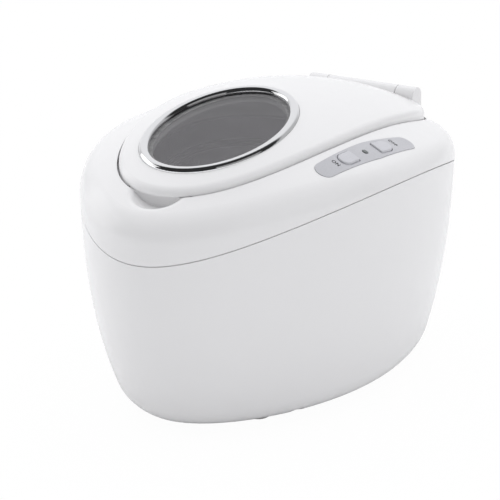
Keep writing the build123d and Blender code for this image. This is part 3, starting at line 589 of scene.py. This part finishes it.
Finish = Union[
    MouldedPlastic,
    ChromePlate,
    SmokePane,
    SilverLacquer,
    SoftRubber,
    BrushedMetal,
    BoardMask,
    LightLens,
    PrintedInk,
]

WHITE = MouldedPlastic("casing_white", (0.84, 0.835, 0.84), roughness=0.24, coat=0.12)
CHROME = ChromePlate("chrome_trim")
SMOKE = SmokePane("smoke_window")
SILVER = SilverLacquer("panel_silver", (0.59, 0.59, 0.62), roughness=0.42)
KEY_SILVER = SilverLacquer("key_silver", (0.64, 0.64, 0.675), roughness=0.36)
LENS = LightLens("light_lens")
INK = PrintedInk("printed_ink")
RUBBER = SoftRubber("grey_rubber", (0.55, 0.55, 0.54))
TANK_STEEL = BrushedMetal(
    "tank_steel", (0.86, 0.84, 0.86), roughness=0.22, lay=Lay.AROUND, line_depth=0.0000008, metallic=0.9
)
BRIGHT_STEEL = BrushedMetal(
    "bright_steel", (0.56, 0.56, 0.57), roughness=0.22, lay=Lay.ALONG_X, line_scale=500.0
)
ALUMINIUM = BrushedMetal(
    "bare_aluminium", (0.78, 0.79, 0.80), roughness=0.3, lay=Lay.AROUND, line_scale=400.0
)
BRASS = BrushedMetal("contact_brass", (0.78, 0.62, 0.30), roughness=0.25)
CERAMIC = MouldedPlastic("piezo_ceramic", (0.70, 0.66, 0.56), roughness=0.55, cloud=0.05)
BLACK = MouldedPlastic(
    "component_black", (0.022, 0.022, 0.024), roughness=0.42, texture=2400.0, texture_depth=0.000012
)
SLEEVE = MouldedPlastic("capacitor_sleeve", (0.03, 0.06, 0.16), roughness=0.3, cloud=0.06)
RESIN = MouldedPlastic("film_resin", (0.42, 0.07, 0.04), roughness=0.25, cloud=0.08)
FERRITE = MouldedPlastic("ferrite_core", (0.10, 0.095, 0.09), roughness=0.5, texture=1500.0, cloud=0.1)
LEAD = SoftRubber("lead_sleeve", (0.05, 0.05, 0.055))
FUSE = MouldedPlastic("fuse_glass", (0.62, 0.64, 0.64), roughness=0.1, cloud=0.04, coat=0.5)
BOARD = BoardMask("board_green")


# ---- helpers for meshes ----
def dress(piece: bpy.types.Object, material: bpy.types.Material) -> bpy.types.Object:
    """Gives a piece one material.

    Args:
        piece: The piece.
        material: Its new material.

    Returns:
        The piece.
    """
    piece.data.materials.clear()
    piece.data.materials.append(material)
    return piece


def dress_nodes(names: Iterable[str], finish: Finish) -> None:
    """Gives nodes of the construction model one finish.

    Args:
        names: The nodes.
        finish: What their surface is.
    """
    material = finish.material()
    for name in names:
        dress(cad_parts[name], material)
        log.info("dressed %s as %s", name, finish.name)


# ---- sub-assemblies ----
@dataclass
class Casing:
    """Casing halves, the lid's shell, the feet and the soft seals."""

    shells: tuple[str, ...] = ("lower_casing", "upper_casing", "lid_shell")
    feet: tuple[str, ...] = ("foot_front_left", "foot_front_right", "foot_rear_left", "foot_rear_right")
    seals: tuple[str, ...] = ("lid_bumpers", "tank_gasket", "window_gasket")

    def dress(self) -> None:
        """Finishes the shells in gloss white, the feet and the seals in rubber."""
        dress_nodes(self.shells, WHITE)
        dress_nodes(self.feet + self.seals, RUBBER)


@dataclass
class Window:
    """Chrome ring and smoke pane in the lid."""

    def dress(self) -> None:
        """Finishes the ring and the pane."""
        dress_nodes(("window_bezel",), CHROME)
        dress_nodes(("window_pane",), SMOKE)


@dataclass
class Bath:
    """Steel tank, its clamps and the transducer under it."""

    def dress(self) -> None:
        """Finishes the metal and ceramic parts."""
        dress_nodes(("tank", "tank_clamps"), TANK_STEEL)
        dress_nodes(("transducer_horn", "heat_sink"), ALUMINIUM)
        dress_nodes(("piezo_rings",), CERAMIC)
        dress_nodes(("electrode_plates", "inlet_contacts"), BRASS)


@dataclass
class Hardware:
    """Pins, screws and other turned steel."""

    names: tuple[str, ...] = (
        "hinge_pin",
        "casing_screws",
        "board_screws",
        "tank_clamp_screws",
        "key_board_screws",
        "transducer_bolt",
        "transducer_back_mass",
    )

    def dress(self) -> None:
        """Finishes them in bright steel."""
        dress_nodes(self.names, BRIGHT_STEEL)


@dataclass
class Electronics:
    """Boards, the parts on them, the inlet and the leads."""

    def dress(self) -> None:
        """Finishes each kind of part."""
        dress_nodes(("driver_board", "key_board"), BOARD)
        dress_nodes(("key_switches", "power_transistors", "power_inlet"), BLACK)
        dress_nodes(("bulk_capacitor",), SLEEVE)
        dress_nodes(("film_capacitors",), RESIN)
        dress_nodes(("drive_transformer", "line_choke"), FERRITE)
        dress_nodes(("mains_fuse",), FUSE)
        dress_nodes(("mains_leads", "transducer_leads", "key_leads"), LEAD)


@dataclass
class KeyPanel:
    """Silver panel with its two keys, the light and their lettering."""

    letter_height: float = 1.7 * MM
    type_body: float = 1.38
    letter_weight: float = 0.035 * MM
    letter_spacing: float = 1.12
    letter_thickness: float = 0.03 * MM
    on_gap: float = 1.9 * MM
    off_gap: float = 2.9 * MM
    word_shift: float = -0.6 * MM
    probe_height: float = 10 * MM
    words: dict[str, str] = field(default_factory=lambda: {"on_key": "ON", "off_key": "OFF"})

    def dress(self) -> None:
        """Finishes the panel, the keys and the light."""
        dress_nodes(("key_panel",), SILVER)
        dress_nodes(("on_key", "off_key"), KEY_SILVER)
        dress_nodes(("status_light",), LENS)

    def middle(self, node: str) -> Vector:
        """Middle of a node's box."""
        low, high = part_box(node)
        return (low + high) / 2

    def surface_height(self, x: float, y: float) -> tuple[float, Vector]:
        """Finds the panel's top under a point.

        Args:
            x: Place across the object.
            y: Place along the object.

        Returns:
            Height of the panel there, and its normal.
        """
        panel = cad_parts["key_panel"]
        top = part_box("key_panel")[1].z + self.probe_height
        hit, place, normal, _ = panel.ray_cast(Vector((x, y, top)), Vector((0, 0, -1)))
        if not hit:
            raise ValueError("the lettering lies off the panel")
        return place.z, normal

    def build(self) -> list[bpy.types.Object]:
        """Prints the two words beside their keys.

        Returns:
            The lettering pieces.
        """
        on, off = self.middle("on_key"), self.middle("off_key")
        along = (off - on).to_2d().normalized()
        reach = (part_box("on_key")[1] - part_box("on_key")[0]).y / 2
        ink = INK.material()
        made = []
        for node, side, gap in (("on_key", -1, self.on_gap), ("off_key", 1, self.off_gap)):
            centre = self.middle(node).to_2d() + side * along * (reach + gap)
            centre += self.word_shift * Vector((along.y, -along.x))
            made.append(self.word(self.words[node], centre, along, ink))
        return made

    def word(
        self, text: str, centre: Vector, upward: Vector, ink: bpy.types.Material
    ) -> bpy.types.Object:
        """Makes one word that lies on the panel.

        Args:
            text: The word.
            centre: Its middle, across and along the object.
            upward: The direction that the letters stand in.
            ink: Its material.

        Returns:
            The word as a mesh piece.
        """
        curve = bpy.data.curves.new(f"word_{text}", "FONT")
        curve.body = text
        curve.size = self.letter_height * self.type_body
        curve.align_x = curve.align_y = "CENTER"
        curve.extrude = self.letter_thickness / 2
        curve.space_character = self.letter_spacing
        curve.offset = self.letter_weight
        source = bpy.data.objects.new(f"word_{text}_source", curve)
        bpy.context.scene.collection.objects.link(source)
        bpy.context.view_layer.update()
        evaluated = source.evaluated_get(bpy.context.evaluated_depsgraph_get())
        mesh = bpy.data.meshes.new_from_object(evaluated)
        bpy.data.objects.remove(source)
        piece = bpy.data.objects.new(f"lettering_{text.lower()}", mesh)
        bpy.context.scene.collection.objects.link(piece)
        height, normal = self.surface_height(centre.x, centre.y)
        stand = Vector((upward.x, upward.y, 0))
        stand = (stand - stand.dot(normal) * normal).normalized()
        across = stand.cross(normal)
        lift = Vector((centre.x, centre.y, height)) + normal * self.letter_thickness
        matrix = Matrix((across, stand, normal)).transposed().to_4x4()
        matrix.translation = lift
        mesh.transform(matrix)
        dress(piece, ink)
        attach(piece, "casing")
        log.info("built %s", piece.name)
        return piece


# ---- camera, light and floor ----
@dataclass
class Studio:
    """Pale floor, soft lamps, the sky around and the camera."""

    azimuth: float = 30.13
    elevation: float = 19.31
    camera_place: Axes = (0.42308, -0.74180, 0.35056)
    lens: float = 159.06
    sensor_width: float = 36.0
    sight: tuple[float, float] = (0.05, 50.0)
    lamp_left: Axes = (-1.7, -0.2, 0.5)
    lamp_left_power: float = 8.0
    lamp_right: Axes = (1.6, -0.2, 0.5)
    lamp_right_power: float = 2.5
    lamp_size: float = 1.6
    lamp_aim: Axes = (0.0, 0.0, 0.06)
    floor_size: float = 8.0
    floor_colour: Colour = (0.93, 0.93, 0.93)
    floor_glow: float = 0.97
    sky_colour: Colour = (0.98, 0.985, 1.0)
    sky_strength: float = 0.47
    overhead: Axes = (-0.05, 0.30, 0.953)
    overhead_edge: tuple[float, float] = (0.45, 0.95)
    overhead_strength: float = 1.66
    gloss_bright: float = 0.95
    gloss_dark: float = 0.03
    room_edge: tuple[float, float] = (-0.28, -0.02)
    wall_edge: tuple[float, float] = (0.08, 0.5)
    wall_share: float = 0.45

    def build(self) -> None:
        """Sets up everything that isn't part of the object."""
        self.camera()
        self.world()
        self.floor()
        self.lamp("lamp_left", self.lamp_left, self.lamp_left_power)
        self.lamp("lamp_right", self.lamp_right, self.lamp_right_power)
        bpy.context.scene.view_settings.view_transform = "Standard"

    def backward(self) -> Vector:
        """Direction from the object to the camera."""
        turn, rise = math.radians(self.azimuth), math.radians(self.elevation)
        return Vector((math.sin(turn) * math.cos(rise), -math.cos(turn) * math.cos(rise), math.sin(rise)))

    def camera(self) -> None:
        """Makes the camera, level and at the viewing angle."""
        data = bpy.data.cameras.new("camera")
        data.lens = self.lens
        data.sensor_width = self.sensor_width
        data.clip_start, data.clip_end = self.sight
        camera = bpy.data.objects.new("camera", data)
        bpy.context.scene.collection.objects.link(camera)
        camera.location = self.camera_place
        camera.rotation_mode = "QUATERNION"
        camera.rotation_quaternion = (-self.backward()).to_track_quat("-Z", "Y")
        bpy.context.scene.camera = camera

    def world(self) -> None:
        """White for the camera, soft for the light, and a dark room in front of the object for gloss."""
        world = bpy.data.worlds.new("surroundings")
        bpy.context.scene.world = world
        shade = Shade.around(world)
        path = shade.node("ShaderNodeLightPath")
        direction = shade.node("ShaderNodeTexCoord").outputs["Generated"]
        turn = math.radians(self.azimuth)
        side = shade.component(direction, (math.cos(turn), math.sin(turn), 0.0))
        walls = (side * side).span(*self.wall_edge, bottom=0.0, top=self.wall_share)
        room = shade.component(direction, self.backward()).span(*self.room_edge).largest(walls)
        seen = self.sky(shade, FULL_WHITE, 1.0)
        overhead = shade.component(direction, self.overhead).span(*self.overhead_edge)
        low = self.sky(shade, self.sky_colour, self.sky_strength)
        high = self.sky(shade, self.sky_colour, self.overhead_strength)
        lit = self.mixed(shade, overhead, low, high)
        bright = self.sky(shade, self.sky_colour, self.gloss_bright)
        dark = self.sky(shade, self.sky_colour, self.gloss_dark)
        gloss = self.mixed(shade, room, bright, dark)
        lights = self.mixed(shade, path.outputs["Is Glossy Ray"], lit, gloss)
        every = self.mixed(shade, path.outputs["Is Camera Ray"], lights, seen)
        shade.tree.links.new(every, shade.output.inputs[0])

    @staticmethod
    def sky(shade: Shade, colour: Colour, strength: float) -> bpy.types.NodeSocket:
        """One even sky.

        Args:
            shade: The world's nodes.
            colour: Its colour.
            strength: Its strength, where 1 shows as white.

        Returns:
            The sky's shader output.
        """
        made = shade.node("ShaderNodeBackground", None, {"Color": colour, "Strength": strength})
        return made.outputs[0]

    @staticmethod
    def mixed(
        shade: Shade,
        factor: Number | bpy.types.NodeSocket,
        first: bpy.types.NodeSocket,
        second: bpy.types.NodeSocket,
    ) -> bpy.types.NodeSocket:
        """Mixes two shaders.

        Args:
            shade: The nodes that they are part of.
            factor: 0 for the first, 1 for the second.
            first: First shader output.
            second: Second shader output.

        Returns:
            The mixed shader's output.
        """
        return shade.node("ShaderNodeMixShader", None, {0: factor, 1: first, 2: second}).outputs[0]

    def floor(self) -> None:
        """Lays the floor, which shows nearly white and still takes the shadow."""
        half = self.floor_size / 2
        corners = [(-half, -half, 0), (half, -half, 0), (half, half, 0), (-half, half, 0)]
        mesh = bpy.data.meshes.new("floor")
        mesh.from_pydata(corners, [], [(0, 1, 2, 3)])
        floor = bpy.data.objects.new("floor", mesh)
        bpy.context.scene.collection.objects.link(floor)
        shade = Shade("floor_paper")
        path = shade.node("ShaderNodeLightPath")
        seen = Signal(shade, path.outputs["Is Camera Ray"])
        paper = shade.node("ShaderNodeBsdfDiffuse", None, {"Color": self.floor_colour})
        glow = shade.node("ShaderNodeEmission", None, {"Color": FULL_WHITE, "Strength": 1.0})
        look = self.mixed(shade, seen * self.floor_glow, paper.outputs[0], glow.outputs[0])
        shade.tree.links.new(look, shade.output.inputs[0])
        dress(floor, shade.material)

    def lamp(self, name: str, place: Axes, power: float) -> None:
        """Hangs one square soft lamp that points at the object.

        Args:
            name: Its name.
            place: Where it hangs.
            power: Its power in watts.
        """
        data = bpy.data.lights.new(name, "AREA")
        data.shape = "SQUARE"
        data.size = self.lamp_size
        data.energy = power
        lamp = bpy.data.objects.new(name, data)
        bpy.context.scene.collection.objects.link(lamp)
        lamp.location = place
        lamp.rotation_mode = "QUATERNION"
        lamp.rotation_quaternion = (Vector(self.lamp_aim) - Vector(place)).to_track_quat("-Z", "Y")


def main() -> None:
    """Dresses the cleaner piece by piece and sets up its studio."""
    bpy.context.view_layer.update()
    Casing().dress()
    Window().dress()
    Bath().dress()
    Hardware().dress()
    Electronics().dress()
    panel = KeyPanel()
    panel.dress()
    panel.build()
    Studio().build()


if __name__ == "__main__":
    main()
